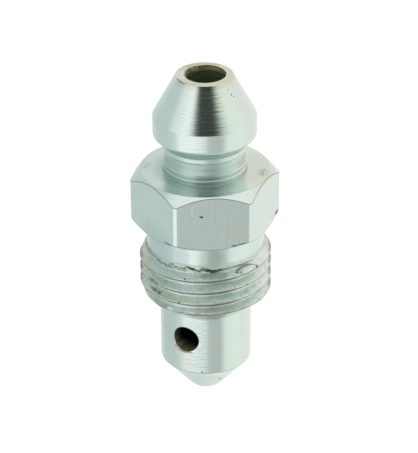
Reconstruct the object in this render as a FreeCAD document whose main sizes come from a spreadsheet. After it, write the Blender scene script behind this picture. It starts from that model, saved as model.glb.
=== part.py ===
import FreeCAD, Part
import math
import os
import Sketcher

# A bleeder screw turned from hexagon bar: hose nipple, neck, hexagon, relief collar,
# screw thread, plain shank and conical seat, with a blind bleed bore and one cross hole.
# The screw lies on its side: its axis runs along Y with the nipple towards +Y, one flat
# of the hexagon faces up, and the origin is on the floor under the middle of its length.

NODE = "bleeder_screw"

# Each row is a cell's alias, its value in millimetres or degrees, and what it measures.
SIZES = (
    ("end_diameter", 4.18, "flat end of the nipple, before its edge is broken"),
    ("end_edge_radius", 0.12, "rounding of the edge of the nipple's end"),
    ("cone_length", 3.18, "tapered lead from the end to the ridge that grips the hose"),
    ("ridge_diameter", 7.66, "ridge and the straight band behind it"),
    ("band_length", 1.46, "straight band behind the ridge"),
    ("band_edge_radius", 0.3, "rounding under the band"),
    ("flare_length", 0.78, "flare from the band in to the shoulder above the neck"),
    ("shoulder_diameter", 6.18, "shoulder at the foot of the flare"),
    ("shoulder_length", 0.36, "length of the shoulder"),
    ("neck_diameter", 5.98, "neck that the hose closes on"),
    ("neck_length", 1.06, "neck with a short slope at both ends"),
    ("neck_slope_length", 0.08, "each of the slopes to the shoulder and to the foot ring"),
    ("foot_ring_diameter", 6.16, "raised ring between the neck and the hexagon"),
    ("foot_ring_length", 0.74, "length of the raised ring"),
    ("foot_radius", 0.08, "fillet where the raised ring meets the hexagon"),
    ("across_flats", 9.75, "hexagon for a 10 mm spanner, at the low end of its tolerance"),
    ("corner_trim", 0.08, "what the rounded corners of the bar lack of sharp ones"),
    ("hex_length", 4.4, "hexagon from face to face"),
    ("face_inset", 0.1, "each end face's round edge, inside the flats"),
    ("top_chamfer_angle", 43, "chamfer on the nipple side, measured from the face"),
    ("under_chamfer_angle", 35, "chamfer on the thread side, measured from the face"),
    ("collar_length", 1.85, "relief from the hexagon to the thread"),
    ("thread_diameter", 9.9, "crests of the M10 x 1 thread"),
    ("thread_depth", 0.53, "from the crests to the root, which is also the relief"),
    ("thread_length", 3.75, "thread with its lead-in at both ends"),
    ("thread_start_length", 0.4, "slope from the relief up to the crests"),
    ("thread_end_chamfer", 0.28, "chamfer of the last thread"),
    ("shank_diameter", 6.9, "plain shank below the thread"),
    ("shank_length", 5.85, "plain shank down to the seat"),
    ("seat_angle", 81, "full angle of the conical seat"),
    ("seat_length", 2.63, "conical seat down to its blunt end"),
    ("tip_edge_radius", 0.2, "rounding of the blunt end"),
    ("bore_diameter", 2.9, "bleed bore along the axis"),
    ("mouth_width", 0.13, "taper at the bore's mouth, measured on the end face"),
    ("mouth_depth", 0.36, "taper at the bore's mouth, measured along the axis"),
    ("drill_point_angle", 118, "full angle of the drill's point"),
    ("bore_overrun", 0.25, "what the bore goes past the cross hole"),
    ("cross_hole_diameter", 2.06, "hole from the shank's side into the bore"),
    ("cross_hole_setback", 3.03, "centre of the cross hole from the thread's end"),
    ("cross_hole_turn", 33.4, "turn of the cross hole about the axis from the top flat"),
)

doc = FreeCAD.newDocument("BleederScrew")
sheet = doc.addObject("Spreadsheet::Sheet", "Sizes")
for row, (alias, value, note) in enumerate(SIZES, start=1):
    sheet.set(f"A{row}", alias)
    sheet.set(f"B{row}", str(value))
    sheet.set(f"C{row}", note)
    sheet.setAlias(f"B{row}", alias)
doc.recompute()

# Stations along the axis, each the lengths that add up to it from the end of the nipple.
END = ()
RIDGE = END + ("cone_length",)
BAND_END = RIDGE + ("band_length",)
SHOULDER = BAND_END + ("flare_length",)
NECK_START = SHOULDER + ("shoulder_length",)
NECK_END = NECK_START + ("neck_length",)
HEX_TOP = NECK_END + ("foot_ring_length",)
HEX_UNDER = HEX_TOP + ("hex_length",)
THREAD_TOP = HEX_UNDER + ("collar_length",)
CREST_START = THREAD_TOP + ("thread_start_length",)
THREAD_END = THREAD_TOP + ("thread_length",)
CROSS_HOLE = THREAD_END + ("cross_hole_setback",)
SEAT_START = THREAD_END + ("shank_length",)
TIP = SEAT_START + ("seat_length",)


# A station as an expression over the sheet.
def at(station):
    return " + ".join(f"Sizes.{alias}" for alias in station) or "0"


# A station as a number of millimetres.
def measured(station):
    return sum(getattr(sheet, alias) for alias in station)


# Radii as expressions over the sheet.
def half(alias):
    return f"Sizes.{alias} / 2"


CORNER = "Sizes.across_flats / 2 / cos(30 deg) - Sizes.corner_trim"
HEX_FACE = "Sizes.across_flats / 2 - Sizes.face_inset"
ROOT = "Sizes.thread_diameter / 2 - Sizes.thread_depth"
TIP_END = "Sizes.shank_diameter / 2 - Sizes.seat_length * tan(Sizes.seat_angle / 2 * 1 deg)"


# Depth of a chamfer on the hexagon, from its end face to where it leaves the corners.
def chamfer_depth(angle_alias):
    return f"(({CORNER}) - ({HEX_FACE})) * tan(Sizes.{angle_alias} * 1 deg)"


def origin_plane(body, role):
    for feature in body.Origin.OriginFeatures:
        if feature.Role == role:
            return feature
    raise ValueError(f"no origin plane {role}")


def new_sketch(body, name, role):
    sketch = body.newObject("Sketcher::SketchObject", name)
    sketch.AttachmentSupport = (origin_plane(body, role), "")
    sketch.MapMode = "FlatFace"
    return sketch


def bind(sketch, expression, *constraint):
    number = sketch.addConstraint(Sketcher.Constraint(*constraint, 1.0))
    sketch.setExpression(f"Constraints[{number}]", expression)


# One side of a turned outline, closed along the axis, with straight lines between its
# corners. Each corner is a pair of expressions, its radius and its station.
def draw_turned_outline(sketch, corners):
    # The corners start on a zigzag beside the axis, in their order round the outline.
    starts = [FreeCAD.Vector(1 + index % 2, -index, 0) for index in range(len(corners))]
    for index, start in enumerate(starts):
        sketch.addGeometry(Part.LineSegment(start, starts[(index + 1) % len(starts)]), False)
    for index, (radius, station) in enumerate(corners):
        previous = (index - 1) % len(corners)
        sketch.addConstraint(Sketcher.Constraint("Coincident", previous, 2, index, 1))
        if radius == "0":
            sketch.addConstraint(Sketcher.Constraint("PointOnObject", index, 1, -2))
        else:
            bind(sketch, radius, "DistanceX", -1, 1, index, 1)
        if station == "0":
            sketch.addConstraint(Sketcher.Constraint("PointOnObject", index, 1, -1))
        else:
            bind(sketch, station, "DistanceY", index, 1, -1, 1)


# Rounds the circular edge that a feature has at one radius and one station.
def round_ring(body, base, name, radius, station, fillet_alias):
    close = 0.001
    edges = []
    for number, edge in enumerate(base.Shape.Edges, start=1):
        if not isinstance(edge.Curve, Part.Circle):
            continue
        if abs(edge.Curve.Radius - radius) < close and abs(edge.Curve.Center.y + station) < close:
            edges.append(f"Edge{number}")
    if not edges:
        raise ValueError(f"{name} found no edge at radius {radius} and station {station}")
    fillet = body.newObject("PartDesign::Fillet", name)
    fillet.Base = (base, edges)
    fillet.setExpression("Radius", f"Sizes.{fillet_alias}")
    doc.recompute()
    return fillet


# The turned blank, with the hexagon still round at the width of its corners.
def turn_blank(body):
    outline = new_sketch(body, "BlankOutline", "XY_Plane")
    draw_turned_outline(
        outline,
        (
            ("0", at(END)),
            (half("end_diameter"), at(END)),
            (half("ridge_diameter"), at(RIDGE)),
            (half("ridge_diameter"), at(BAND_END)),
            (half("shoulder_diameter"), at(SHOULDER)),
            (half("shoulder_diameter"), at(NECK_START)),
            (half("neck_diameter"), f"{at(NECK_START)} + Sizes.neck_slope_length"),
            (half("neck_diameter"), f"{at(NECK_END)} - Sizes.neck_slope_length"),
            (half("foot_ring_diameter"), at(NECK_END)),
            (half("foot_ring_diameter"), at(HEX_TOP)),
            (HEX_FACE, at(HEX_TOP)),
            (CORNER, f"{at(HEX_TOP)} + {chamfer_depth('top_chamfer_angle')}"),
            (CORNER, f"{at(HEX_UNDER)} - {chamfer_depth('under_chamfer_angle')}"),
            (HEX_FACE, at(HEX_UNDER)),
            (ROOT, at(HEX_UNDER)),
            (ROOT, at(THREAD_TOP)),
            (half("thread_diameter"), at(CREST_START)),
            (half("thread_diameter"), f"{at(THREAD_END)} - Sizes.thread_end_chamfer"),
            (f"{half('thread_diameter')} - Sizes.thread_end_chamfer", at(THREAD_END)),
            (half("shank_diameter"), at(THREAD_END)),
            (half("shank_diameter"), at(SEAT_START)),
            (TIP_END, at(TIP)),
            ("0", at(TIP)),
        ),
    )
    blank = body.newObject("PartDesign::Revolution", "TurnedBlank")
    blank.Profile = outline
    blank.ReferenceAxis = (outline, ["V_Axis"])
    blank.Angle = 360
    doc.recompute()
    return blank


def round_edges(body, blank):
    seat_half_angle = math.radians(sheet.seat_angle / 2)
    tip_radius = sheet.shank_diameter / 2 - sheet.seat_length * math.tan(seat_half_angle)
    rings = (
        ("EndEdge", sheet.end_diameter / 2, END, "end_edge_radius"),
        ("BandEdge", sheet.ridge_diameter / 2, BAND_END, "band_edge_radius"),
        ("RingFoot", sheet.foot_ring_diameter / 2, HEX_TOP, "foot_radius"),
        ("TipEdge", tip_radius, TIP, "tip_edge_radius"),
    )
    feature = blank
    for name, radius, station, fillet_alias in rings:
        feature = round_ring(body, feature, name, radius, measured(station), fillet_alias)
    return feature


# The six flats: what lies outside the hexagon comes off the blank. The sketch plane
# looks along the axis towards the seat, so its offset is a station.
def cut_flats(body):
    sketch = new_sketch(body, "HexagonBar", "XZ_Plane")
    sketch.setExpression("AttachmentOffset.Base.z", at(HEX_TOP))
    sides = 6
    middle = FreeCAD.Vector(0, 0, 0)
    axis = FreeCAD.Vector(0, 0, 1)
    first = FreeCAD.Vector(sheet.across_flats, 0, 0)
    corners = [FreeCAD.Rotation(axis, 360 / sides * side).multVec(first) for side in range(sides)]
    for side in range(sides):
        line = Part.LineSegment(corners[side], corners[(side + 1) % sides])
        sketch.addGeometry(line, False)
    corner_circle = sketch.addGeometry(Part.Circle(middle, axis, sheet.across_flats), True)
    waste_circle = sketch.addGeometry(Part.Circle(middle, axis, 2 * sheet.across_flats), False)
    for side in range(sides):
        sketch.addConstraint(Sketcher.Constraint("Coincident", side, 2, (side + 1) % sides, 1))
        sketch.addConstraint(Sketcher.Constraint("PointOnObject", side, 1, corner_circle))
    for side in range(1, sides):
        sketch.addConstraint(Sketcher.Constraint("Equal", 0, side))
    sketch.addConstraint(Sketcher.Constraint("PointOnObject", 0, 1, -1))
    for circle in (corner_circle, waste_circle):
        sketch.addConstraint(Sketcher.Constraint("Coincident", circle, 3, -1, 1))
    bind(sketch, "Sizes.across_flats / 2 / cos(30 deg)", "Radius", corner_circle)
    bind(sketch, "Sizes.across_flats", "Radius", waste_circle)
    flats = body.newObject("PartDesign::Pocket", "HexagonFlats")
    flats.Profile = sketch
    flats.setExpression("Length", "Sizes.hex_length")
    flats.Reversed = True
    doc.recompute()
    return flats


# The blind bleed bore, opened out by a steep taper at its mouth and pointed by the drill.
# It ends just past the cross hole.
def cut_bleed_bore(body):
    outline = new_sketch(body, "BoreOutline", "XY_Plane")
    depth = f"{at(CROSS_HOLE)} + {half('cross_hole_diameter')} + Sizes.bore_overrun"
    point_depth = f"{half('bore_diameter')} / tan(Sizes.drill_point_angle / 2 * 1 deg)"
    draw_turned_outline(
        outline,
        (
            ("0", at(END)),
            (f"{half('bore_diameter')} + Sizes.mouth_width", at(END)),
            (half("bore_diameter"), "Sizes.mouth_depth"),
            (half("bore_diameter"), depth),
            ("0", f"{depth} + {point_depth}"),
        ),
    )
    bore = body.newObject("PartDesign::Groove", "BleedBore")
    bore.Profile = outline
    bore.ReferenceAxis = (outline, ["V_Axis"])
    bore.Angle = 360
    doc.recompute()
    return bore


# The cross hole, drilled from one side into the bore. Its sketch plane holds the axis.
def cut_cross_hole(body):
    sketch = new_sketch(body, "CrossHoleCircle", "XY_Plane")
    turn = FreeCAD.Rotation(FreeCAD.Vector(0, -1, 0), sheet.cross_hole_turn)
    sketch.AttachmentOffset = FreeCAD.Placement(FreeCAD.Vector(0, 0, 0), turn)
    sketch.setExpression("AttachmentOffset.Rotation.Angle", "Sizes.cross_hole_turn * 1 deg")
    start = FreeCAD.Vector(0, -1, 0)
    circle = sketch.addGeometry(Part.Circle(start, FreeCAD.Vector(0, 0, 1), 1), False)
    sketch.addConstraint(Sketcher.Constraint("PointOnObject", circle, 3, -2))
    bind(sketch, at(CROSS_HOLE), "DistanceY", circle, 3, -1, 1)
    bind(sketch, half("cross_hole_diameter"), "Radius", circle)
    hole = body.newObject("PartDesign::Pocket", "CrossHole")
    hole.Profile = sketch
    hole.setExpression("Length", "Sizes.shank_diameter")
    hole.Reversed = True
    doc.recompute()
    return hole


def build_screw():
    body = doc.addObject("PartDesign::Body", "BleederScrewBody")
    body.Label = NODE
    rounded = round_edges(body, turn_blank(body))
    flats = cut_flats(body)
    bore = cut_bleed_bore(body)
    hole = cut_cross_hole(body)
    for before, cut in ((rounded, flats), (flats, bore), (bore, hole)):
        if not cut.Shape.Volume < before.Shape.Volume - 1:
            raise ValueError(f"{cut.Name} cut nothing")

    # The screw rests on its widest round, with the middle of its length over the origin.
    body.setExpression("Placement.Base.y", f"({at(TIP)}) / 2")
    widest = "max(Sizes.thread_diameter; Sizes.across_flats)"
    body.setExpression("Placement.Base.z", f"{widest} / 2")
    doc.recompute()
    return body


screw = build_screw()

for item in doc.Objects:
    if "Invalid" in item.State or "Error" in item.State:
        raise ValueError(f"{item.Name} failed: {item.State}")
if screw.Shape.isNull() or not screw.Shape.isValid():
    raise ValueError(f"{NODE} has no valid shape")

os.makedirs("parts", exist_ok=True)
screw.Shape.exportStep(f"parts/{NODE}.step")

box = screw.Shape.optimalBoundingBox()
print(f"{NODE}: {len(screw.Shape.Solids)} solid, {screw.Shape.Volume:.1f} cubic mm")
print(f"X {box.XMin:.2f} to {box.XMax:.2f}, Y {box.YMin:.2f} to {box.YMax:.2f}")
print(f"Z {box.ZMin:.2f} to {box.ZMax:.2f}")
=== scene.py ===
import math

import bpy
import numpy as np
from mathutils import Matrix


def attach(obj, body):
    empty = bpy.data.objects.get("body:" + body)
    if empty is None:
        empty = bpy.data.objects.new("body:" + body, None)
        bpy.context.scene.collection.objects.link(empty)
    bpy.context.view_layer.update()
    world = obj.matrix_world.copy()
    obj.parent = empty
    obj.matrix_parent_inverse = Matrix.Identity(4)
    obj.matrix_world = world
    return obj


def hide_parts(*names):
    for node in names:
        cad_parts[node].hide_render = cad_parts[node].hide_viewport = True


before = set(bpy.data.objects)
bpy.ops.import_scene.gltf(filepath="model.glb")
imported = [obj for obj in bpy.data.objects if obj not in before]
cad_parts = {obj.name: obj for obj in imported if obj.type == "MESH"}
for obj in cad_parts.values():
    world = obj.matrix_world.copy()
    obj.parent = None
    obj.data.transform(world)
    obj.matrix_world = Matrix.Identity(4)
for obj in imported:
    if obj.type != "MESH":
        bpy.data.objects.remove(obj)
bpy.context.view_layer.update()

mm = 0.001

camera = dict(
    sensor=36,  # mm along the photograph's long side
    lens=165.3,  # mm
    distance=156.2,  # mm from the point looked at
    elevation=28.57,  # degrees above the plane square to the screw's axis
    turn=6.6,  # degrees that the camera stands to the left of the upper flat
    roll=-0.28,  # degrees
    target=(0.276, 0.474, 4.982),  # mm
    clip=(0.01, 5),  # m
)


def cameraAxes(s):
    # right, up and back of a camera that looks along the axis from above, then rolled
    e, a, r = (math.radians(s[k]) for k in ("elevation", "turn", "roll"))
    back = np.array([-math.cos(e) * math.sin(a), math.sin(e), math.cos(e) * math.cos(a)])
    right = np.array([math.cos(a), 0, math.sin(a)])
    up = np.array([math.sin(e) * math.sin(a), math.cos(e), -math.sin(e) * math.cos(a)])
    rolledRight = math.cos(r) * right + math.sin(r) * up
    return rolledRight, math.cos(r) * up - math.sin(r) * right, back


def makeCamera(s):
    # a camera at its distance behind the target, with the axes as the columns of its matrix
    right, up, back = cameraAxes(s)
    data = bpy.data.cameras.new("photoCamera")
    data.sensor_width, data.lens = s["sensor"], s["lens"]
    data.clip_start, data.clip_end = s["clip"]
    obj = bpy.data.objects.new("photoCamera", data)
    matrix = np.eye(4)
    matrix[:3, 0], matrix[:3, 1], matrix[:3, 2] = right, up, back
    matrix[:3, 3] = (np.array(s["target"]) + s["distance"] * back) * mm
    obj.matrix_world = matrix.T.tolist()  # Blender takes a nested list by columns
    bpy.context.scene.collection.objects.link(obj)
    bpy.context.scene.camera = obj


makeCamera(camera)
bpy.context.scene.view_settings.view_transform = "Standard"
print("camera placed")

# All sizes of the screw are in mm. A station is the distance from the nipple's end along the axis,
# a turn is the angle about the axis from the upper flat, in degrees, towards +X.
screw = dict(
    axisHeight=4.95,  # the thread's crests rest on the floor
    halfLength=13.03,
    boreRadius=1.45,
    drillPoint=22.76,  # stations of the drill's point and of its shoulder
    drillShoulder=21.89,
    boreShift=0.145,  # the drill started this far off the axis
    shiftEnd=15.0,  # and is on it here
    boreStep=3.0,  # a level row of the grid, for even faces
    taperEnd=0.36,
    mouthRadius=1.58,
    nipple=[  # station, radius, softness, steps round the corner, steps to the next
        (0.0, 2.09, 0.12, 5, 9),  # end face
        (3.18, 3.83, 0.08, 3, 4),  # ridge
        (4.64, 3.83, 0.30, 6, 3),
        (5.42, 3.09, 0.12, 3, 2),  # shoulder
        (5.78, 3.09, 0.05, 2, 1),
        (5.87, 3.01, 0.05, 2, 2),  # neck
        (6.45, 2.985, 0.5, 2, 2),
        (6.79, 3.005, 0.03, 1, 1),
        (6.86, 3.055, 0.04, 2, 1),  # two turned rings at its foot
        (7.10, 3.055, 0.03, 1, 1),
        (7.16, 3.02, 0.02, 1, 1),
        (7.23, 3.09, 0.05, 2, 1),
        (7.58, 3.07, 0.08, 2, 5)],
    mouthCorner=6,  # the profile's corners by number, from the drill's point on
    reliefCorner=24,
    lowerCorner=100,  # the first one below the thread
    apothem=4.875,
    cornerRadius=5.549,
    cornerBlend=0.02,  # how softly the flats meet the round corners
    flatSteps=33,  # columns across each flat of the hexagon
    flatMargin=0.75,  # degrees from the outer ones to the flat's edge
    bendTurns=(-0.45, -0.2, 0.0, 0.2, 0.45),  # columns round that edge
    faceRadius=4.775,  # the chamfers begin here
    topChamfer=43,  # degrees
    underChamfer=35,
    hexTop=7.58,
    hexUnder=11.98,
    reliefRadius=4.42,
    raggedTop=13.40,  # rows for the torn edge of the first thread begin here
    threadTop=13.83,
    startEdge=(13.88, 4.56),  # station and radius where the relief's steep edge gives way to a slope
    crestStart=14.26,
    chamferStart=17.30,
    threadEnd=17.58,
    endRadius=4.67,
    crestRadius=4.95,
    pitch=1.0,
    firstCrest=14.47,  # station of the first crest on the line that faces the camera
    crestFlat=0.05,  # half the crest's width
    threadDepth=0.56,
    flankAngle=30,  # degrees between a flank and the plane square to the axis
    rootSoft=0.08,
    slopeFloor=4.3,  # the groove's floor falls to this radius under the sloped start
    tear=[  # turn, how far the torn edge stands up there, and how wide the dark gap behind it is, painted shade with grime
        (-88, 0.0, 0.0), (-80, 0.05, 0.05), (-66, 0.08, 0.07), (-58, -0.02, 0.08), (-52, -0.08, 0.09),
        (-46, -0.09, 0.07), (-44, -0.04, 0.05), (-42, 0.17, 0.07), (-38, 0.12, 0.06), (-34, 0.0, 0.05),
        (-31, 0.05, 0.05), (-28, -0.02, 0.06), (-26.5, 0.05, 0.08), (-24.7, 0.27, 0.16), (-21, 0.18, 0.18),
        (-15.3, 0.02, 0.13), (-12, -0.06, 0.10), (-11.3, 0.20, 0.20), (-6, 0.13, 0.24), (0.3, -0.02, 0.25),
        (5, 0.0, 0.20), (9, 0.03, 0.12), (15.5, 0.0, 0.05), (21, 0.04, 0.04), (33, 0.0, 0.04),
        (45, -0.06, 0.04), (50, -0.06, 0.0), (62, 0.0, 0.0)],
    toothStep=1.6,  # degrees from one tooth of the torn edge to the next
    toothTurns=(-80, -66, 6, 16),
    toothHeight=0.16,
    toothBand=(-0.01, 0.04, 0.1, 0.2),  # how far below the thread's top the teeth stand
    patch=(34.5, 14.20, 11.8, 0.22, 0.004),  # turn, station, half sizes and fall to the right
    patchRadius=4.90,
    patchEdge=(0.03, -0.14),  # mm outside the outline where it begins, and where it is full
    shankRadius=3.45,
    seatStart=23.43,
    tipRadius=1.204,
    holeStation=20.61,
    holeTurn=-33.4,
    holeRadius=1.03,
    rimSoft=0.10,
    windowSteps=20,  # rows of the grid that give way to the cross hole
    windowMargin=0.27,  # from the hole to the window's side columns
    shankWindow=(19.30, 21.92),  # stations of the windows' first and last rows
    boreWindow=(21.78, 19.42),
    boreWindowHalf=1.23,  # half the width of the bore's window
    warpStations=(5, 17),  # between these the bore's columns spread to pass either side of the hole
)


def smooth(low, high, x):
    # 0 up to low, 1 from high on, and between them three times the square less twice the cube
    t = np.clip((x - low) / (high - low), 0, 1)
    return t * t * (3 - 2 * t)


def band(edges, x):
    # up from 0 to 1 between the first two edges, and down again between the last two
    return smooth(edges[0], edges[1], x) * smooth(edges[3], edges[2], x)


def columnAngles(s):
    # columns round the axis: even across each flat, close together where its edges turn the corner
    edge = math.degrees(math.acos(s["apothem"] / s["cornerRadius"]))
    flat = np.linspace(-edge + s["flatMargin"], edge - s["flatMargin"], s["flatSteps"])
    bend = np.array(s["bendTurns"])
    sector = np.concatenate([flat, edge + bend, [30.0], 60 - edge + bend])
    angles = np.sort((np.concatenate([sector + 60 * k for k in range(6)]) + 180) % 360 - 180)
    return np.radians(np.append(angles, angles[0] + 360))


def hexRadius(angle, s):
    # from axis to flat, the apothem over the cosine, limited softly by the round corners
    off = (angle + math.pi / 6) % (math.pi / 3) - math.pi / 6
    flat = s["apothem"] / np.cos(off)
    near = np.clip(1 - np.abs(flat - s["cornerRadius"]) / s["cornerBlend"], 0, None)
    return np.minimum(flat, s["cornerRadius"]) - near**2 * s["cornerBlend"] / 4


def roundedPath(corners, angles, hold=0.02):
    # a path through corners (station, radius, softness, steps round it, steps to the next), each of
    # which may differ from column to column: a soft corner is a quadratic curve from one run to the
    # next, with a close row on either side of it, so that the runs are shaded straight. Gives the
    # rows, and the number of the corner that each bent row belongs to
    points = np.array([np.broadcast_arrays(c[0], c[1], angles)[:2] for c in corners], float)
    steps = np.diff(points, axis=0)
    length = np.linalg.norm(steps, axis=1)
    way = steps / length[:, None]
    rows, bent, last = [points[0]], [0], len(corners) - 1
    leave = points[0]
    for k in range(1, last + 1):
        softness, bend = corners[k][2:4]
        cut = np.zeros(len(angles))
        if softness:
            turned = np.arccos(np.clip((way[k - 1] * way[k]).sum(0), -1, 1))
            cut = np.minimum(softness * np.tan(turned / 2), 0.45 * np.minimum(length[k - 1], length[k]))
        arrive = points[k] - way[k - 1] * cut
        share = np.minimum(hold / np.linalg.norm(arrive - leave, axis=0), 0.2)
        near = [share] if corners[k - 1][2] else []
        far = [1 - share] if softness else []
        middle = [share + (1 - 2 * share) * t for t in np.linspace(0, 1, corners[k - 1][4] + 1)[1:-1]]
        rows += [leave + (arrive - leave) * t for t in near + middle + far]
        bent += [-1] * len(near + middle + far)
        if softness:
            leave = points[k] + way[k] * cut
            rows += [(1 - t) ** 2 * arrive + 2 * t * (1 - t) * points[k] + t * t * leave
                     for t in np.linspace(0, 1, bend + 1)]
            bent += [k] * (bend + 1)
        else:
            leave = points[k]
            rows.append(points[k])
            bent.append(k)
    return np.array(rows), np.array(bent)


def threadLead(angles, s):
    # how far the helix has climbed at each angle, a right-hand thread
    return (angles + math.radians(camera["turn"])) / (2 * math.pi) * s["pitch"]


def threadPhase(station, angles, s):
    # distance from the nearest crest, along the axis
    half = s["pitch"] / 2
    return (station + threadLead(angles, s) - s["firstCrest"] + half) % s["pitch"] - half


def threadRows(angles, s):
    # rows that follow the helix, each at its distance from a crest, clipped between the torn edge and
    # the last thread's face, among level rows where the blank turns; in order down each column
    above = np.array([-0.44, -0.40, -0.37, -0.34, -0.28, -0.20, -0.12, -0.07, -0.05])
    below = np.array([-0.005, 0.02, 0.05, 0.07, 0.10, 0.20, 0.30, 0.40, 0.44, 0.50])
    offsets = np.concatenate([above, below])
    base = s["firstCrest"] + (np.arange(-2, 5)[:, None] * s["pitch"] + offsets).ravel()
    station = np.clip(base[:, None] - threadLead(angles, s), s["raggedTop"], s["threadEnd"])
    station = station[(station.max(1) > s["raggedTop"]) & (station.min(1) < s["threadEnd"])]
    level = [s["raggedTop"], 13.50, 13.58, 13.65, 13.71, 13.77, s["threadTop"], s["startEdge"][0], 13.94,
             14.0, 14.08, s["crestStart"], s["chamferStart"], 17.45, s["threadEnd"]]
    return np.sort(np.concatenate([station, np.array(level)[:, None] + 0 * station[:len(level)]]), axis=0)


def tornEdge(angles, s):
    # how far the first thread's torn edge stands up at each angle, and the gap behind it
    turns, rise, gap = np.array(s["tear"]).T
    degrees = np.degrees(angles)
    return np.interp(degrees, turns, rise), np.interp(degrees, turns, gap)


def teeth(angles, s, seed):
    # random teeth from 0 to 1 round the torn part of the thread, 0 elsewhere
    knots = np.arange(-180, 181, s["toothStep"])
    heights = np.random.default_rng(seed).uniform(0.0, 1.0, len(knots))
    degrees = np.degrees(angles)
    return np.interp(degrees, knots, heights) * band(s["toothTurns"], degrees)


def inPatch(station, angles, s):
    # mm outside the outline of the flattened patch, which two parabolas bound: how far the station
    # is past the parabola, over the length of its gradient
    turn, middle, halfTurn, halfLength, slope = s["patch"]
    away = np.degrees(angles) - turn
    across = away / halfTurn
    past = np.abs(station - middle - slope * away) - halfLength * (1 - across**2)
    return past / np.hypot(1, 2 * halfLength * across / (halfTurn * math.radians(s["crestRadius"])))


def threadRadius(station, angles, s):
    # crest less the depth of a 60 degree groove with a soft root, no more than the turned blank, with
    # teeth on the groove's floor under the torn edge and a flattened patch
    off = np.abs(threadPhase(station, angles, s))
    depth = np.clip((off - s["crestFlat"]) / math.tan(math.radians(s["flankAngle"])), 0, None)
    near = np.clip(1 - np.abs(depth - s["threadDepth"]) / s["rootSoft"], 0, None)
    depth = np.minimum(depth, s["threadDepth"]) - near**2 * s["rootSoft"] / 4
    rise, _ = tornEdge(angles, s)
    torn = station + rise
    top, crest = s["threadTop"], s["crestRadius"]
    blank = np.interp(torn, [top, s["startEdge"][0], s["crestStart"], s["chamferStart"], s["threadEnd"]],
                      [s["reliefRadius"], s["startEdge"][1], crest, crest, s["endRadius"]])
    floor = np.interp(torn, [top, s["crestStart"]], [s["reliefRadius"], s["slopeFloor"]])
    floor += s["toothHeight"] * teeth(angles, s, seed=11) * band(s["toothBand"], torn - top)
    flank = np.maximum(crest - depth, floor)
    patch = smooth(*s["patchEdge"], inPatch(station, angles, s))
    return np.minimum(blank, flank + (s["patchRadius"] - flank) * patch)


def place(station, radius, turn, s):
    # across is radius times sine, height is the axis plus radius times cosine
    return np.stack([radius * np.sin(turn), s["halfLength"] - station,
                     s["axisHeight"] + radius * np.cos(turn)], -1)


def gridFaces(rows, columns, first=0):
    # four corners of each cell, counted along the rows, so that faces point outwards
    i, j = np.meshgrid(np.arange(rows - 1), np.arange(columns - 1), indexing="ij")
    a = (first + i * columns + j).ravel()
    return np.stack([a, a + columns, a + columns + 1, a + 1], 1)


def weld(points, faces, close=1e-5):
    # points that share a place become one; a face keeps its different corners, if it has three
    _, first, index = np.unique(np.round(points / close).astype(np.int64), axis=0,
                                return_index=True, return_inverse=True)
    merged = index.ravel()[faces]
    same = merged == np.roll(merged, -1, axis=1)
    slim = same.sum(1) == 1
    return first, merged[same.sum(1) == 0], merged[slim][~same[slim]].reshape(-1, 3)


def windowLoop(top, bottom, left, right):
    # (row, column) of each grid point round a window, along its top row first
    rows = np.arange(top, bottom, 1 if bottom > top else -1)
    columns = np.arange(left, right)
    return (np.concatenate([columns * 0 + top, rows, columns * 0 + bottom, bottom + top - rows]),
            np.concatenate([columns, rows * 0 + right, right + left - columns, rows * 0 + left]))


def crossHole(outer, inner, s):
    # rings from the window in the shank, over the soft rim, down the hole's wall and out to the
    # window in the bore; each ring point has its offset across, its offset along and its height
    psi = np.arctan2(outer[1], outer[0])
    rho, soft = s["holeRadius"], s["rimSoft"]
    rings = []

    def onCylinder(across, along, radius):
        return np.array([across, along, np.sqrt(radius**2 - across**2)])

    def around(distance, radius):
        return onCylinder(distance * np.cos(psi), distance * np.sin(psi), radius)

    for t in np.linspace(0, 1, 7):
        target = (rho + soft) * np.array([np.cos(psi), np.sin(psi)])
        rings.append(onCylinder(*(outer[:2] + (target - outer[:2]) * t), s["shankRadius"]))
    lip, mouth = around(rho, s["shankRadius"]), around(rho, s["boreRadius"])
    drop = np.array([[0], [0], [soft]])
    edge = rings[-1]
    for t in np.linspace(0, 1, 6)[1:]:
        rings.append((1 - t) ** 2 * edge + 2 * t * (1 - t) * lip + t * t * (lip - drop))
    top, bottom = lip - drop, mouth + drop
    rings += [top + (bottom - top) * t for t in np.linspace(0, 1, 8)[1:]]
    flare = around(rho + soft, s["boreRadius"])
    rings += [(1 - t) ** 2 * bottom + 2 * t * (1 - t) * mouth + t * t * flare for t in (0.33, 0.67, 1)]
    for t in np.linspace(0, 1, 4)[1:]:
        rings.append(onCylinder(*(flare[:2] + (inner[:2] - flare[:2]) * t), s["boreRadius"]))
    across, along, height = np.moveaxis(np.array(rings), 1, 0)
    a = math.radians(s["holeTurn"])
    return np.stack([height * math.sin(a) + across * math.cos(a),
                     s["halfLength"] - s["holeStation"] - along,
                     s["axisHeight"] + height * math.cos(a) - across * math.sin(a)], -1)


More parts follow.
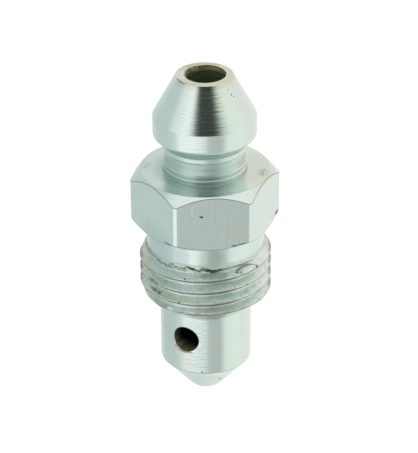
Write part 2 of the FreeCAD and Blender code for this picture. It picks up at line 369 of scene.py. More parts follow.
def profileRows(angles, s):
    # station and radius of every row in every column, from the drill's point over the nipple to the
    # tip: rounded corners, rows on the helix, and rounded corners again. Gives the rows, their corners
    # by number, and which rows are the first of the thread and of the shank
    hexR = hexRadius(angles, s)
    wide = hexR - s["faceRadius"]
    topEdge = s["hexTop"] + wide * math.tan(math.radians(s["topChamfer"]))
    underEdge = s["hexUnder"] - wide * math.tan(math.radians(s["underChamfer"]))
    bore, shank, tip = s["boreRadius"], s["shankRadius"], 2 * s["halfLength"]
    upper, bentUpper = roundedPath([
        (s["drillPoint"], 0.0, 0, 0, 3),
        (s["drillShoulder"], bore, 0.05, 2, 1),
        (s["boreWindow"][0], bore, 0, 0, s["windowSteps"]),
        (s["boreWindow"][1], bore, 0, 0, 5),
        (s["boreStep"], bore, 0, 0, 4),
        (s["taperEnd"], bore, 0.1, 2, 2),
        (0.0, s["mouthRadius"], 0.03, 2, 2),
        *s["nipple"],
        (s["hexTop"], s["faceRadius"], 0.04, 2, 6),
        (topEdge, hexR, 0.05, 3, 8),
        (underEdge, hexR, 0.05, 3, 5),
        (s["hexUnder"], s["faceRadius"], 0.04, 2, 2),
        (s["hexUnder"], s["reliefRadius"], 0.05, 2, 5),
        (s["raggedTop"], s["reliefRadius"], 0, 0, 0)], angles)
    endRim = threadRadius(np.full(len(angles), s["threadEnd"]), angles, s)
    lower, bentLower = roundedPath([
        (s["threadEnd"], endRim, 0, 0, 3),
        (s["threadEnd"], shank, 0.08, 3, 6),
        (s["shankWindow"][0], shank, 0, 0, s["windowSteps"]),
        (s["shankWindow"][1], shank, 0, 0, 5),
        (s["seatStart"], shank, 0.06, 3, 6),
        (tip, s["tipRadius"], 0.2, 5, 3),
        (tip, 0.0, 0, 0, 0)], angles)
    helix = threadRows(angles, s)
    path = np.concatenate([upper, np.stack([helix, threadRadius(helix, angles, s)], 1), lower])
    bent = np.concatenate([bentUpper, np.full(len(helix), -1), bentLower + s["lowerCorner"]])
    return path, bent, len(upper), len(upper) + len(helix)


# Where grime, painted shade, dullness and the lathe's lines lie, in mm. Four numbers are a band that has its
# full depth between the middle two, and a pair is where something begins and where it is full.
wearAndShade = dict(
    crestLine=(-0.01, 0.02, 0.06, 0.10),  # painted shade with some grime: dark line below each crest
    rootLine=(0.41, 0.44, 0.47),  # painted shade with some grime: dark line in each groove, which ends sharply at the third number
    rootLineEnd=(17.1, 16.9),
    linesStart=(14.0, 14.3),  # both kinds of line fade in on the first thread
    lastEdge=(17.27, 17.32, 17.40, 17.48),  # painted shade along the last thread's edge
    lastEdgeDark=0.8,
    lastEdgeSink=(-0.08, -0.03),  # only on the end's chamfer, not down in the groove
    darkCorners={19: 0.3, 20: 0.12, 21: 0.65, 22: 0.5, 104: 0.5},  # painted dark reflection and shade along these corners, by number of the corner
    crestHalf=(0.17, 0.11),
    neckShade=(4.85, 5.2),  # painted shade and reflection, with duller metal, in the neck and on the hexagon's top out to the first radius
    neckRadii=(4.3, 3.1),
    rightTurns=(0.3, 0.9),  # radians; little painted shade on the right, where more light reaches
    rightLessShade=0.95,
    # the shoulder keeps less of the painted shade, so it shows as a lighter ring
    shoulder=(5.36, 5.46, 5.76, 5.86),
    shoulderLessShade=0.6,
    # painted shade on the shank's top under the thread, where it mirrors the thread's underside
    shankShade=(18.75, 18.3),
    shankShadeDepth=0.9,
    ridge=3.18,  # the nipple's lead ends here
    fainter=dict(lead=0.35, relief=0.5, thread=0.45, shank=0.2, shadedDullRecess=0.8, seat=0.7),  # lathe's lines
    lineStarts=dict(relief=30, thread=40, shank=45, hole=60),  # where each run starts in the noise
    flankStretch=1.155,  # length of the thread's flank for each mm of depth
    holeLineStep=0.1,  # from one ring of the cross hole's wall to the next
    topEnds=(-0.02, 0.8),  # the flecks reach from just over the hexagon's face down its chamfer
    topRadius=3.0,
    # painted shade, darker deeper in the bore
    deepBore=(3, 9),
    endFace=(0.25, 0.05),
    endRadii=(1.5, 1.7),
    wallRing=10,  # the cross hole's wall begins at this ring
    # painted shade, darker deeper in the cross hole
    deepRings=(12, 16),
    rimLathe=0.8,
)


def finishAndShadeMarks(path, bent, threadRow, shankRow, angles, s, w):
    # what each point of the grid belongs to, from 0 to 1, where grime and painted shade lie, and four
    # lengths in mm for the
    # finish: along the profile, past the torn edge, the gap behind it, and outside the flattened patch
    station, radius = path[:, 0], path[:, 1]
    row = np.arange(len(station))[:, None]
    mouthRow, reliefRow = (np.flatnonzero(bent == s[k])[0] for k in ("mouthCorner", "reliefCorner"))
    thread = slice(threadRow, shankRow)
    onThread = ((row >= threadRow) & (row < shankRow)) + 0.0 * station
    onShank = row >= shankRow
    inside = (row <= mouthRow) + 0.0 * station

    steps = np.linalg.norm(np.diff(path, axis=0), axis=1)
    along = np.concatenate([steps[:1] * 0, np.cumsum(steps, 0)])
    along[reliefRow:] += w["lineStarts"]["relief"] - along[reliefRow]
    along[thread] = w["lineStarts"]["thread"] + w["flankStretch"] * (s["crestRadius"] - radius[thread])
    along[shankRow:] += w["lineStarts"]["shank"] - along[shankRow]

    phase = threadPhase(station, angles, s)
    rootLine = smooth(*w["rootLine"][:2], phase) * (phase < w["rootLine"][2])
    lines = band(w["crestLine"], phase) + rootLine * smooth(*w["rootLineEnd"], station)
    lines *= smooth(*w["linesStart"], station)
    chamfer = s["crestRadius"] - (station - s["chamferStart"])
    lastEdge = w["lastEdgeDark"] * band(w["lastEdge"], station)
    lastEdge *= smooth(*w["lastEdgeSink"], radius - chamfer)
    edge = np.select([bent == k for k in w["darkCorners"]], list(w["darkCorners"].values()), 0.0)

    rise, gap = tornEdge(angles, s)
    reach = station + rise - s["threadTop"]
    reach = np.clip(reach + np.clip(radius - s["reliefRadius"], 0, None) * (reach > 0), -1, 3)

    # painted shade and reflection, darker and tealer, in the neck, on the hexagon's top near it and on the
    # shank's top under the thread, less of it on the right and on the shoulder; the same mask makes these
    # parts duller and a little less metallic
    shadedDullRecess = smooth(*w["neckShade"], station) * smooth(s["hexTop"] + 0.1, s["hexTop"], station)
    shadedDullRecess *= smooth(*w["neckRadii"], radius)
    shadedDullRecess *= 1 - w["rightLessShade"] * smooth(*w["rightTurns"], angles)
    shadedDullRecess *= 1 - w["shoulderLessShade"] * band(w["shoulder"], station)
    shadedDullRecess += w["shankShadeDepth"] * smooth(*w["shankShade"], station) * onShank

    fainter = w["fainter"]
    lathe = 1 - fainter["lead"] * (station < w["ridge"]) - fainter["thread"] * onThread
    lathe -= fainter["relief"] * ((row >= reliefRow) & (row < threadRow)) + fainter["shank"] * onShank
    lathe *= 1 - fainter["shadedDullRecess"] * np.clip(shadedDullRecess, 0, 1)
    lathe *= 1 - fainter["seat"] * onShank * (station > s["seatStart"])

    onFlats = (station > s["hexTop"] + 0.01) & (station < s["hexUnder"] - 0.01)
    above, below = w["topEnds"]
    top = (station > s["hexTop"] + above) & (station < s["hexTop"] + below) & (radius > w["topRadius"])
    return dict(
        bore=inside,
        flat=onFlats * (radius >= hexRadius(angles, s) - 0.002) * 1.0,
        thread=onThread,
        # painted shade with some grime in the grooves and along the last thread's edge
        grimeAndShade=onThread * np.clip(lines + lastEdge, 0, 1),
        reach=reach,
        lathe=lathe,
        crest=smooth(*w["crestHalf"], np.abs(phase)) * onThread,
        top=top * 1.0,
        gap=gap + 0 * station,
        patch=np.clip(inPatch(station, angles, s), -1, 1),
        # painted dark reflection and shade along some corners
        edge=edge[:, None] + 0 * station,
        # painted shade deep in the bore
        deepShade=smooth(*w["deepBore"], station) * inside,
        shadedDullRecess=shadedDullRecess,
        end=smooth(*w["endFace"], station) * smooth(*w["endRadii"], radius),
        along=along,
    )


def screwSurface(s, w):
    # the profile's rows turned about the axis, with a window in the shank and one in the bore that
    # the cross hole's rings join; gives points, quads, triangles and the finish's marks
    angles = columnAngles(s)
    path, bent, threadRow, shankRow = profileRows(angles, s)
    station, radius = path[:, 0], path[:, 1]
    turn = np.broadcast_to(angles, station.shape).copy()

    # the window's columns, and the bore's columns spread so that they pass either side of the hole
    hole = math.radians(s["holeTurn"])
    reach = math.asin((s["holeRadius"] + s["windowMargin"]) / s["shankRadius"])
    left, right = np.searchsorted(angles, [hole - reach, hole + reach])
    left -= 1
    offset = angles - hole
    spread = math.asin(s["boreWindowHalf"] / s["boreRadius"])
    warped = np.interp(offset, [offset[0], offset[left], offset[right], offset[-1]],
                       [offset[0], -spread, spread, offset[-1]])
    boreRows = np.flatnonzero(radius[:threadRow, 0] <= s["boreRadius"] + 1e-6)
    share = smooth(*s["warpStations"], station[boreRows, :])
    turn[boreRows] = hole + offset + (warped - offset) * share

    def rowAt(value, low, high):
        return low + int(np.argmin(np.abs(station[low:high, 0] - value)))

    rows = [rowAt(v, shankRow, len(station)) for v in s["shankWindow"]]
    inner = [rowAt(v, 0, len(boreRows)) for v in s["boreWindow"]]
    grid = place(station, radius, turn, s)
    faces = gridFaces(*station.shape)
    keep = np.ones(len(faces), bool).reshape(station.shape[0] - 1, -1)
    keep[rows[0]:rows[1], left:right] = False
    keep[inner[0]:inner[1], left:right] = False
    faces = faces[keep.ravel()]

    def local(rowsOf, radiusOf):
        i, j = windowLoop(*rowsOf, left, right)
        return np.array([radiusOf * np.sin(turn[i, j] - hole), station[i, j] - s["holeStation"]])

    rings = crossHole(local(rows, s["shankRadius"]), local(inner[::-1], s["boreRadius"]), s)
    rings = np.concatenate([rings, rings[:, :1]], 1)
    flat = grid.reshape(-1, 3)
    faces = np.concatenate([faces, gridFaces(*rings.shape[:2], first=len(flat))])
    points = np.concatenate([flat, rings.reshape(-1, 3)])

    # the finish's marks, and the cross hole's own
    marks = finishAndShadeMarks(path, bent, threadRow, shankRow, angles, s, w)
    ring = np.arange(len(rings))[:, None]
    wall = (ring >= w["wallRing"]) + 0.0 * rings[..., 0]
    shankAlong = marks["along"][rows[0], 0] + s["halfLength"] - rings[..., 1] - station[rows[0], 0]
    wallAlong = w["lineStarts"]["hole"] + w["holeLineStep"] * ring + 0 * shankAlong
    ringMarks = dict(
        bore=wall,
        patch=wall * 0 + 1,
        lathe=w["rimLathe"] * (1 - wall),
        # painted shade deeper in the cross hole
        deepShade=smooth(*w["deepRings"], ring) + wall * 0,
        along=np.where(wall > 0, wallAlong, shankAlong),
    )
    marks = {name: np.concatenate([value.ravel(), ringMarks.get(name, wall * 0).ravel()])
             for name, value in marks.items()}
    used, faces = np.unique(faces, return_inverse=True)
    points, faces = points[used], faces.reshape(-1, 4)
    first, quads, triangles = weld(points, faces)
    points, marks = points[first], {name: value[used][first] for name, value in marks.items()}

    # the bore leans, from off the axis at its mouth to the axis deep inside
    away = s["boreShift"] * np.clip(1 - (s["halfLength"] - points[:, 1]) / s["shiftEnd"], 0, 1)
    points[:, 0] += away * marks["bore"] * (np.hypot(points[:, 0], points[:, 2] - s["axisHeight"]) > 1e-6)
    return points, quads, triangles, marks


points, quads, triangles, marks = screwSurface(screw, wearAndShade)
mesh = bpy.data.meshes.new("screwBody")
mesh.from_pydata((points * mm).tolist(), [], quads.tolist() + triangles.tolist())
mesh.shade_smooth()
for name, values in marks.items():
    mesh.attributes.new(name, "FLOAT", "POINT").data.foreach_set("value", values.astype(np.float32))
across, height = points[:, 0], points[:, 2] - screw["axisHeight"]
unrolled = np.stack([np.degrees(np.arctan2(across, height)), screw["halfLength"] - points[:, 1],
                     np.hypot(across, height)], 1).astype(np.float32)  # turn, station and radius
mesh.attributes.new("unrolled", "FLOAT_VECTOR", "POINT").data.foreach_set("vector", unrolled.ravel())
body = bpy.data.objects.new("screwBody", mesh)
bpy.context.scene.collection.objects.link(body)
print("screw has", len(points), "points and", 2 * len(quads) + len(triangles), "triangles")


def linear(hexColour):
    # sRGB hex to linear
    part = np.array([int(hexColour[k:k + 2], 16) for k in (0, 2, 4)]) / 255
    return (*np.where(part <= 0.04045, part / 12.92, ((part + 0.055) / 1.055) ** 2.4), 1.0)


def addNode(tree, kind, *given, output=None, **settings):
    # one node with its settings: what is given goes to its open inputs in order, where a socket is
    # linked, a number or colour is set and None is passed over. Gives the output of that name, or
    # else the first open one
    node = tree.nodes.new("ShaderNode" + kind)
    for name, value in settings.items():
        setattr(node, name, value)
    openInputs = [socket for socket in node.inputs if socket.enabled]
    for socket, value in zip(openInputs, given):
        if isinstance(value, bpy.types.NodeSocket):
            tree.links.new(value, socket)
        elif value is not None:
            socket.default_value = value
    if output:
        return node.outputs[output]
    return next((socket for socket in node.outputs if socket.enabled), None)


# Marks left by tools and use, and painted shade, reflection and light laid on in the same way. Each kind has
# the share of its half sizes within which a mark is full, then rows of half sizes in degrees and mm, tilt,
# depth of colour, and the turn and station of every mark of that size. On the hexagon's top a radius stands
# for the station. All but the scratches and the burrs have ragged edges.
marksAndPaintedLight = dict(
    spots=(0.55, [
        (1.8, 0.09, 2.6, 0.95, [(-9.7, 9.10)]),
        (0.6, 0.055, 0, 0.7, [(-43.6, 9.13), (-34.6, 8.84), (30.3, 14.80)]),
        (3.3, 0.08, 0, 0.65, [(18.0, 11.62), (23.5, 11.53), (27.5, 11.47), (-40.0, 11.54), (-35.5, 11.50)]),
        (4.0, 0.22, 0, 0.8, [(84.0, 11.38)]),
        (9.0, 0.065, 0, 0.58, [(-61.5, 15.54), (-61.5, 16.43)]),
        (3.0, 0.085, 0, 0.6, [(-54.0, 15.58), (-54.0, 16.42)]),
        (2.6, 0.05, 0, 0.8, [(8.5, 14.53)]),
        (1.2, 0.06, 0, 0.85, [(-24.8, 14.43), (-2.0, 14.54), (31.4, 15.35), (51.3, 15.32), (61.9, 16.87),
                              (44.3, 14.28), (22.6, 14.20), (-30.2, 16.50), (75.0, 1.9), (38.0, 0.46),
                              (45.5, 1.03)]),
        (1.8, 0.07, 0, 0.9, [(41.5, 0.87), (-11.5, 23.31)]),
        (2.2, 0.05, 2, 0.8, [(-57.5, 13.95), (-48.0, 13.93), (-39.5, 13.86)]),
        (6.5, 0.035, 0.3, 0.75, [(-40.5, 14.00), (-29.0, 14.05)]),
        (1.2, 0.12, 0, 0.25, [(34.9, 20.17)]),
        (20.0, 0.05, 0, 0.5, [(-62.0, 0.06)]),
        (7.0, 0.10, 1, 0.9, [(22.6, 24.85)]),
    ]),
    scratchesAndLitPatches=(0.55, [
        (0.6, 0.55, 0, 0.8, [(-17.2, 8.65)]),
        (0.4, 0.45, 0, 0.4, [(13.8, 11.40), (1.4, 10.4), (7.7, 10.9)]),
        (0.7, 0.05, 0, 0.6, [(-11.8, 9.22)]),
        (3.5, 0.05, 0, 0.6, [(32.0, 12.75)]),
        # painted light, not a scratch: a lighter patch on the thread's right
        (24.0, 2.2, 0, 0.35, [(64.0, 15.2)]),
        # painted light, not a scratch: a lighter patch on the end's left
        (35.0, 0.30, 0, 0.3, [(-90.0, 0.0)]),
    ]),
    rimTintsAndWallLight=(0.3, [  # round the cross hole: a brown deposit at the rim, and painted light on the lower part of the hole's wall
        (7.0, 0.24, 0, 0.8, [(-45.5, 21.38), (-37.0, 21.66)]),
        (2.5, 0.40, 0, 0.5, [(-51.0, 20.9)]),
    ]),
    # painted brown shade along the cross hole's lower rim
    lowerRimShades=(0.3, [
        (7.5, 0.15, 0, 0.75, [(-39.5, 21.60), (-33.5, 21.69), (-29.0, 21.66)]),
    ]),
    oil=(0.55, [
        (14.0, 0.10, 0, 0.4, [(13.0, 15.40), (13.0, 16.38)]),
        (23.0, 0.12, 0, 0.3, [(5.0, 17.20), (-45.0, 16.48)]),
        (45.0, 0.50, 0, 0.26, [(80.0, 7.58)]),
        (16.0, 2.0, 0, 0.2, [(75.0, 15.0), (-80.0, 15.0)]),
        (45.0, 0.30, 0, 0.6, [(170.0, 0.0), (-170.0, 0.0)]),
    ]),
    # painted shade and reflection: bluish grey tints on the collar's and the shank's left, a band of the
    # thread and the seat
    blueShades=(0.5, [
        (36.0, 3.0, 0, 0.38, [(-54.0, 12.9)]),
        (22.0, 3.5, 0, 0.15, [(-62.0, 20.5)]),
        (9.0, 0.18, 0, 0.6, [(10.0, 15.8)]),
        (70.0, 1.4, 0, 0.4, [(-5.0, 24.9)]),
    ]),
    # painted shade: the grey band in the collar's highlight and left of it, the first thread's darker band
    # and the shank's top under the thread
    shades=(0.55, [
        (17.0, 0.22, 0, 0.6, [(1.0, 14.22)]),
        (14.0, 0.12, 0, 0.3, [(5.0, 15.0)]),
        (34.0, 0.34, 0, 0.5, [(-4.0, 18.40)]),
        (14.0, 1.15, 0, 0.3, [(-2.0, 12.9)]),
        (9.0, 1.15, 0, 0.22, [(-29.0, 12.9)]),
    ]),
    glints=(0.2, [  # painted highlights in the bore
        (50.0, 1.6, 0, 0.7, [(75.0, 1.6)]),
        (16.0, 0.06, 0, 0.9, [(-160.0, 0.33)]),
    ]),
    burrs=(0.2, [  # on the hexagon's top
        (13.0, 0.55, 0, 0.75, [(72.0, 4.30)]),
        (12.0, 0.50, 0, 0.4, [(-102.0, 4.35), (14.0, 4.40)]),
    ]),
)

# Lengths are in mm and heights in micrometres. A pair is where something, mostly a noise, comes in and
# where it is full, and two more numbers are what it gives there.
# colours and settings of the finish, some of the colours painted shade, reflection and light
finishAndShade = dict(
    colours=dict(  # sRGB hex
        zinc="DCE7E4",
        warm="DEE4D9",  # faint yellow passivation
        thread="D6E0D6",
        mottled="9A9F92",
        oil="C4BC98",
        # painted shade and reflection, a bluish grey
        blueShade="B8CACC",
        # painted shade and reflection in the neck and on the shank's top
        shadedDullRecess="BED1CD",
        # brown deposit round the cross hole, and painted light on its lower wall
        rimTintAndWallLight="B0A488",
        # painted brown shade at the cross hole's lower rim
        lowerRimShade="7C7059",
        # painted shade
        shade="87958C",
        # painted highlight in the bore
        glint="A9B8A4",
        taper="786036",
        varnish="A69069",
        end="D2D0B8",
        # painted shade deep in the bore and the cross hole
        deepShade="0F0E0A",
        # grime, and painted shade in grooves, along corners and in gaps
        grimeAndShade="25261E",
        # bright scratches, and painted light on two patches
        scratchAndLight="FFFFFF",
        drilled="66744E",  # oily unplated wall of the bore
    ),
    roughness=0.19,
    boreRough=0.3,
    threadRough=0.2,
    recessRough=0.12,
    boreFilm=0.75,  # how far the bore's varnish and the recess's dullness hide the metal
    recessFilm=0.12,
    lineSize=(2.0, 0.13, 2.0),  # the lathe's rings; closer ones would not show in the render
    lineHeight=16.0,
    lineDark=0.07,
    lineScore=(0.52, 0.72),
    drawSize=(0.16, 5.0, 0.16),  # lines of the drawn bar on the flats
    drawHeight=3.0,
    drawDark=0.035,
    drawScore=(0.5, 0.7),
    grainSize=(0.13, 0.13, 0.13),  # the plating's grain, as fine as shows in the render
    grainHeight=1.2,
    threadGrain=13.0,
    cloudSize=(2.5, 1.5, 2.5),  # slow changes of the plating's tint
    cloudWarm=(0.5, 0.75),
    cloudThread=(0.4, 0.6),
    speck=(0.56, 0.72),
    speckDark=0.35,
    mottleSize=(0.5, 0.25, 0.5),  # patches of the torn thread and of the varnish
    mottle=(0.5, 0.62),
    mottleDark=0.22,
    fraySize=0.18,  # ragged edges of the marks
    frayTurn=2.0,  # degrees
    frayAlong=0.16,
    endGrain=(0.35, 0.6, 1.0, 0.6),
    boreScore=(0.45, 0.6),
    boreDark=0.4,
    glintScore=(0.55, 0.4),
    taperMottle=(0.48, 0.60),
    taperStation=(0.30, 0.20),
    grimeGrain=(0.30, 0.45, 0.55, 0.92),
    tornGrain=0.25,  # raggedness of the torn edge
    tornFront=(-0.05, -0.02),
    tornBack=(0.05, 0.0),
    tornMottle=(0.42, 0.56, 1.0, 0.6),
    gapDark=(0.0, 0.20, 0.55, 0.95),  # painted shade with grime: a wider gap is darker
    gapStart=(0.0, 0.03),
    patchLine=(0.04, 0.01, 0.0, 0.55),
    fleck=(0.49, 0.58),
    sideMiddle=6.6,  # degrees to the left of the upper flat; painted dark reflection lies on the crests to either side, where they make the outline
    sideStart=(75.0, 82.0, 0.0, 0.45),  # degrees from there
    sideEnd=(102.0, 95.0),
)


def zincMaterial(s, b):
    # bright zinc over turned steel, which mirrors the studio softly: rings left by the lathe, draw lines of
    # the bar on the flats, a mottled torn thread, an oily bore painted darker deeper in, grime and painted
    # shade in grooves, corners and the neck, and painted reflection and light in a few places
    material = bpy.data.materials.new("brightZincPlatedSteel")
    material.use_nodes = True
    tree = material.node_tree
    shader = tree.nodes["Principled BSDF"]
    paint = {name: linear(code) for name, code in s["colours"].items()}
    times, plus, minus, larger, smaller = (dict(operation=name) for name in (
        "MULTIPLY", "ADD", "SUBTRACT", "MAXIMUM", "MINIMUM"))
    soft, over = dict(interpolation_type="SMOOTHSTEP"), dict(data_type="RGBA")

    objectPlace = addNode(tree, "TexCoord", output="Object")
    bore, flat, thread, grimeAndShade, edge, along, deepShade, shadedDullRecess, end, reach, gap, patch, lathe, top, crest = (
        addNode(tree, "Attribute", attribute_name=name, output="Fac")
        for name in ("bore", "flat", "thread", "grimeAndShade", "edge", "along", "deepShade", "shadedDullRecess", "end",
                     "reach", "gap", "patch", "lathe", "top", "crest"))
    x, _, z = addNode(tree, "SeparateXYZ", objectPlace).node.outputs
    ringPlace = addNode(tree, "CombineXYZ", x, addNode(tree, "Math", along, mm, **times), z)

    # noises with their own size along each axis
    noises = []
    for vector, size, detail in ((ringPlace, s["lineSize"], 2.0), (objectPlace, s["drawSize"], 2.0),
                                 (objectPlace, s["grainSize"], 3.0), (objectPlace, s["cloudSize"], 3.0),
                                 (objectPlace, s["mottleSize"], 3.0)):
        scaled = addNode(tree, "Mapping", vector, None, None, tuple(1000 / part for part in size))
        noises.append(addNode(tree, "TexNoise", scaled, 1.0, detail, output="Fac"))
    lines, draw, grain, cloud, mottle = noises

    # where each point is on the unrolled screw, and the same place with a ragged offset
    fray = addNode(tree, "TexNoise", objectPlace, 1000 / s["fraySize"], 3.0, output="Color")
    fray = addNode(tree, "VectorMath", fray, (s["frayTurn"], s["frayAlong"], 0),
                   (-s["frayTurn"] / 2, -s["frayAlong"] / 2, 0), operation="MULTIPLY_ADD")
    unrolled = addNode(tree, "Attribute", attribute_name="unrolled", output="Vector")
    turnPlace, level, radiusPlace = addNode(tree, "SeparateXYZ", unrolled).node.outputs
    around = addNode(tree, "CombineXYZ", turnPlace, radiusPlace)
    ragged = addNode(tree, "VectorMath", unrolled, fray, **plus)

    def product(*factors):
        # all factors multiplied; a factor in brackets is a value and where it comes in
        result = None
        for factor in factors:
            if isinstance(factor, tuple):
                factor = addNode(tree, "MapRange", *factor, **soft)
            result = factor if result is None else addNode(tree, "Math", result, factor, **times)
        return result

    def marked(kind, vector=ragged):
        # the most that any mark covers: for each size the place is turned and divided by the half
        # sizes, and a mark reaches as far as 1 from its middle
        full, rows = b[kind]
        most = 0.0
        for halfTurn, halfLength, tilt, depth, middles in rows:
            a, size = math.radians(tilt), (halfTurn, halfLength, 1e6)
            scaled = addNode(tree, "Mapping", vector, None, (0, 0, a), size, vector_type="TEXTURE")
            nearest = 1e3
            for turn, station in middles:
                middle = ((turn * math.cos(a) + station * math.sin(a)) / halfTurn,
                          (station * math.cos(a) - turn * math.sin(a)) / halfLength, 0)
                away = addNode(tree, "VectorMath", scaled, middle, operation="DISTANCE")
                nearest = addNode(tree, "Math", away, nearest, **smaller)
            most = addNode(tree, "Math", product((nearest, 1.0, full, 0.0, depth)), most, **larger)
        return most

    # heights of the lathe's rings, the draw lines and the grain, as a bump in micrometres
    calm = product(lathe, addNode(tree, "Math", 1.0, flat, **minus))
    grainHeight = product(thread, s["threadGrain"] - s["grainHeight"])
    grainHeight = addNode(tree, "Math", grainHeight, s["grainHeight"], **plus)
    height = addNode(tree, "Math", product(lines, s["lineHeight"], calm),
                     product(draw, s["drawHeight"], flat), **plus)
    height = addNode(tree, "Math", height, product(grain, grainHeight), **plus)
    tree.links.new(addNode(tree, "Bump", 1.0, 1e-6, None, height), shader.inputs["Normal"])

    # the plating, each colour laid over the ones before it
    tinted = product((cloud, *s["cloudWarm"]))
    colour = addNode(tree, "Mix", tinted, paint["zinc"], paint["warm"], **over)
    tinted = product(thread, (cloud, *s["cloudThread"]))
    colour = addNode(tree, "Mix", tinted, colour, paint["thread"], **over)
    specks = product((grain, *s["speck"]), thread, s["speckDark"])
    colour = addNode(tree, "Mix", specks, colour, paint["grimeAndShade"], **over)
    mottled = product((mottle, *s["mottle"]), thread, s["mottleDark"])
    colour = addNode(tree, "Mix", mottled, colour, paint["mottled"], **over)
    scored = product((lines, *s["lineScore"]), s["lineDark"], calm, calm)
    colour = addNode(tree, "Mix", scored, colour, paint["grimeAndShade"], **over)
    drawn = product((draw, *s["drawScore"]), s["drawDark"], flat)
    colour = addNode(tree, "Mix", drawn, colour, paint["grimeAndShade"], **over)
    # painted shade and reflection in the neck, near it on the hexagon's top and on the shank's top
    colour = addNode(tree, "Mix", shadedDullRecess, colour, paint["shadedDullRecess"], **over)
    # painted shade and reflection as bluish grey tints
    colour = addNode(tree, "Mix", marked("blueShades"), colour, paint["blueShade"], **over)
    colour = addNode(tree, "Mix", product(end, (grain, *s["endGrain"])), colour, paint["end"], **over)
    colour = addNode(tree, "Mix", marked("oil"), colour, paint["oil"], **over)
    # painted shade on the collar, the first thread and the shank's top
    colour = addNode(tree, "Mix", marked("shades"), colour, paint["shade"], **over)

    # the bore, with its varnished taper; round the cross hole a brown deposit with painted light on its
    # lower wall, and a painted brown shade along its lower rim
    scored = product((lines, *s["boreScore"]), lathe, s["boreDark"])
    drilled = addNode(tree, "Mix", scored, paint["drilled"], paint["deepShade"], **over)
    # painted highlights in the bore
    shining = product((lines, *s["glintScore"]), marked("glints"))
    drilled = addNode(tree, "Mix", shining, drilled, paint["glint"], **over)
    worn = product((mottle, *s["taperMottle"]))
    taper = addNode(tree, "Mix", worn, paint["taper"], paint["varnish"], **over)
    drilled = addNode(tree, "Mix", product((level, *s["taperStation"])), drilled, taper, **over)
    # painted shade: the bore darker deeper in
    drilled = addNode(tree, "Mix", deepShade, drilled, paint["deepShade"], **over)
    colour = addNode(tree, "Mix", bore, colour, drilled, **over)
    # brown deposit with painted light on the hole's lower wall, then painted brown shade at its lower rim
    colour = addNode(tree, "Mix", marked("rimTintsAndWallLight"), colour, paint["rimTintAndWallLight"], **over)
    colour = addNode(tree, "Mix", marked("lowerRimShades"), colour, paint["lowerRimShade"], **over)

    # grime and painted shade: dark lines in the grooves and along corners, the gap behind the torn edge, the
    # patch's outline, spots and flecks, and painted dark reflection on the crests where the thread makes its
    # two outlines
    dirtAndShade = addNode(tree, "Math", product(grimeAndShade, (grain, *s["grimeGrain"])), edge, **larger)
    # the gap behind the torn edge: painted shade with grime, darker where it is wider
    uneven = product(addNode(tree, "Math", grain, 0.5, **minus), s["tornGrain"])
    front = addNode(tree, "Math", reach, uneven, **plus)
    back = addNode(tree, "Math", front, gap, **minus)
    torn = product((front, *s["tornFront"]), (back, *s["tornBack"]), (gap, *s["gapDark"]),
                   (mottle, *s["tornMottle"]), (gap, *s["gapStart"]))
    dirtAndShade = addNode(tree, "Math", dirtAndShade, torn, **larger)
    outline = addNode(tree, "Math", patch, operation="ABSOLUTE")
    dirtAndShade = addNode(tree, "Math", dirtAndShade, product((outline, *s["patchLine"])), **larger)
    dirtAndShade = addNode(tree, "Math", dirtAndShade, marked("spots"), **larger)
    flecks = product((grain, *s["fleck"]), marked("burrs", around), top)
    dirtAndShade = addNode(tree, "Math", dirtAndShade, flecks, **larger)
    # painted dark reflection on the crests where the thread makes its outline, to either side
    beside = addNode(tree, "Math", turnPlace, s["sideMiddle"], **plus)
    beside = addNode(tree, "Math", beside, operation="ABSOLUTE")
    sides = product((beside, *s["sideStart"]), (beside, *s["sideEnd"]), crest)
    dirtAndShade = addNode(tree, "Math", dirtAndShade, sides, **larger)
    # bright scratches, and painted light on the thread's right and on the end's left
    colour = addNode(tree, "Mix", marked("scratchesAndLitPatches", unrolled), colour, paint["scratchAndLight"], **over)
    colour = addNode(tree, "Mix", dirtAndShade, colour, paint["grimeAndShade"], **over)
    tree.links.new(colour, shader.inputs["Base Color"])

    # a film hides the metal in the outer bore and a little in the recess; these and the thread are
    # duller
    film = product(addNode(tree, "Math", bore, deepShade, **minus), s["boreFilm"])
    film = addNode(tree, "Math", film, product(shadedDullRecess, s["recessFilm"]), **plus)
    tree.links.new(addNode(tree, "Math", 1.0, film, **minus), shader.inputs["Metallic"])
    duller = addNode(tree, "Math", product(bore, s["boreRough"]), product(thread, s["threadRough"]), **plus)
    duller = addNode(tree, "Math", duller, product(shadedDullRecess, s["recessRough"]), **plus)
    tree.links.new(addNode(tree, "Math", duller, s["roughness"], **plus), shader.inputs["Roughness"])
    return material


body.data.materials.append(zincMaterial(finishAndShade, marksAndPaintedLight))
print("finish laid on")

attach(body, "root")
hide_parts("bleeder_screw")

sweep = dict(
    half=1,  # m
    paper="F2F2F0",
    shown=(1.09, 1.09, 1.09, 1),  # over 1, since the lit paper with its shadow is mixed in
    left="D3DEDB",  # what the metal mirrors, from left to right under the screw
    right="FFFFFA",
    sides=(-0.012, 0.006),  # m
    glow=0.88,  # share of the even white; the rest is the lit paper
)

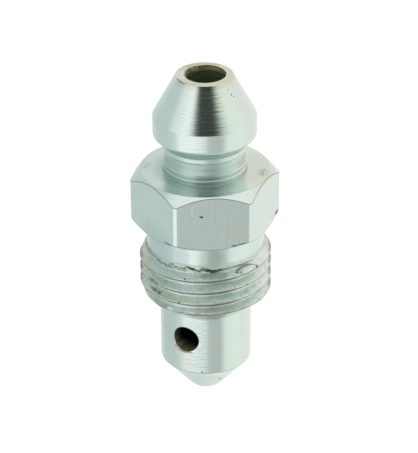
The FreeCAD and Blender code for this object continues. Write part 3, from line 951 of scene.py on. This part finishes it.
# white paper sweep: matt and even, so that the eye sees only the screw and its faint shadow
paper = bpy.data.materials.new("whitePaperSweep")
paper.use_nodes = True
tree = paper.node_tree
tree.nodes.clear()
rays = addNode(tree, "LightPath").node.outputs
floorPlace = addNode(tree, "TexCoord", output="Object")
side = addNode(tree, "MapRange", addNode(tree, "SeparateXYZ", floorPlace), *sweep["sides"],
               interpolation_type="SMOOTHSTEP")
shade = addNode(tree, "Mix", side, linear(sweep["left"]), linear(sweep["right"]), data_type="RGBA")
lit = addNode(tree, "BsdfDiffuse", linear(sweep["paper"]))
shown = addNode(tree, "Mix", rays["Is Camera Ray"], shade, sweep["shown"], data_type="RGBA")
glow = addNode(tree, "Emission", shown, 1.0)
either = addNode(tree, "Math", rays["Is Camera Ray"], rays["Is Glossy Ray"], operation="MAXIMUM")
seen = addNode(tree, "Math", either, sweep["glow"], operation="MULTIPLY")
addNode(tree, "OutputMaterial", addNode(tree, "MixShader", seen, lit, glow))

far = sweep["half"]
floorMesh = bpy.data.meshes.new("floor")
floorMesh.from_pydata([(-far, -far, 0), (far, -far, 0), (far, far, 0), (-far, far, 0)], [], [(0, 1, 2, 3)])
floor = bpy.data.objects.new("floor", floorMesh)
bpy.context.scene.collection.objects.link(floor)
floor.data.materials.append(paper)

# Rings of soft light round the upright screw, from its tip up. Each has the heights between which it
# takes over from the ring below, where -1 is straight below the tip and 1 straight above the nipple,
# and its stops: azimuth from the camera to the right in degrees, colour and strength.
studio = dict(
    rings=[
        (None, [
            (-180, "FFFFFF", 0.9), (-100, "E8F0EC", 0.95), (0, "CBDFE1", 0.93), (60, "F2F8F2", 1.05),
            (180, "FFFFFF", 0.9)]),
        ((-0.86, -0.74), [
            (-180, "FFFFFF", 0.9), (-110, "E4EEE8", 0.83), (-57, "E8F2F0", 0.88), (-45, "B9C5C2", 0.9),
            (2, "B9C5C2", 0.9), (7, "CFD4D2", 0.93), (31, "CBD1CF", 0.93), (42, "F1F7F0", 1.05),
            (120, "FAFCF2", 1.1), (180, "FFFFFF", 0.9)]),
        ((-0.66, -0.52), [
            (-180, "FFFFFF", 0.9), (-110, "E4EEE8", 0.83), (-57, "E8F2F0", 0.88), (-46, "FFFFFF", 1.12),
            (-20, "FFFFFF", 1.12), (0, "F4F8F6", 1.03), (7, "CFD4D2", 0.93), (31, "CBD1CF", 0.93),
            (42, "F1F7F0", 1.05), (120, "FAFCF2", 1.1), (180, "FFFFFF", 0.9)]),
        ((0.10, 0.35), [
            (-180, "FFFFFF", 0.9), (-90, "DFECEA", 0.9), (-66, "EAF1EE", 1.0), (-44, "FFFFFF", 1.12),
            (-34, "FFFFFF", 1.14), (-26, "A0A59C", 1.0), (-18, "2B3026", 1.0), (24, "2B3026", 1.0),
            (34, "6C736A", 1.0), (48, "F0F6EA", 1.05), (120, "FAFCEE", 1.1), (180, "FFFFFF", 0.9)]),
        ((0.62, 0.85), [
            (-180, "FFFFFF", 1.0), (180, "FFFFFF", 1.0)]),
    ],
    narrowing=(0.40, 0.52, 0.82, 1.12),  # azimuths times 0.82 up to the first height, then more
)

world = bpy.data.worlds.new("softStudio")
bpy.context.scene.world = world
world.use_nodes = True
tree = world.node_tree
tree.nodes.clear()
direction = addNode(tree, "TexCoord", output="Generated")
cosine, sine = math.cos(math.radians(camera["turn"])), math.sin(math.radians(camera["turn"]))
sideways, upright, forward = (
    addNode(tree, "VectorMath", direction, axis, operation="DOT_PRODUCT")
    for axis in ((cosine, 0, sine), (0, 1, 0), (-sine, 0, cosine)))
azimuth = addNode(tree, "Math", sideways, forward, operation="ARCTAN2")
narrow = addNode(tree, "MapRange", upright, *studio["narrowing"])
aimed = addNode(tree, "Math", azimuth, narrow, operation="MULTIPLY")
share = addNode(tree, "MapRange", aimed, -math.pi, math.pi)
sky = None
for heights, stops in studio["rings"]:
    step = addNode(tree, "MapRange", upright, *heights, interpolation_type="SMOOTHSTEP") if heights else None
    ring = addNode(tree, "ValToRGB", share)
    elements = ring.node.color_ramp.elements
    for k, (degrees, colour, strength) in enumerate(stops):
        element = elements[k] if k < 2 else elements.new((degrees + 180) / 360)
        element.position = (degrees + 180) / 360
        element.color = [c * strength for c in linear(colour)[:3]] + [1]
    sky = addNode(tree, "Mix", step, sky, ring, data_type="RGBA") if heights else ring
isCamera = addNode(tree, "LightPath", output="Is Camera Ray")
white = addNode(tree, "Mix", isCamera, sky, (1, 1, 1, 1), data_type="RGBA")
addNode(tree, "OutputWorld", addNode(tree, "Background", white))
print("studio lit")
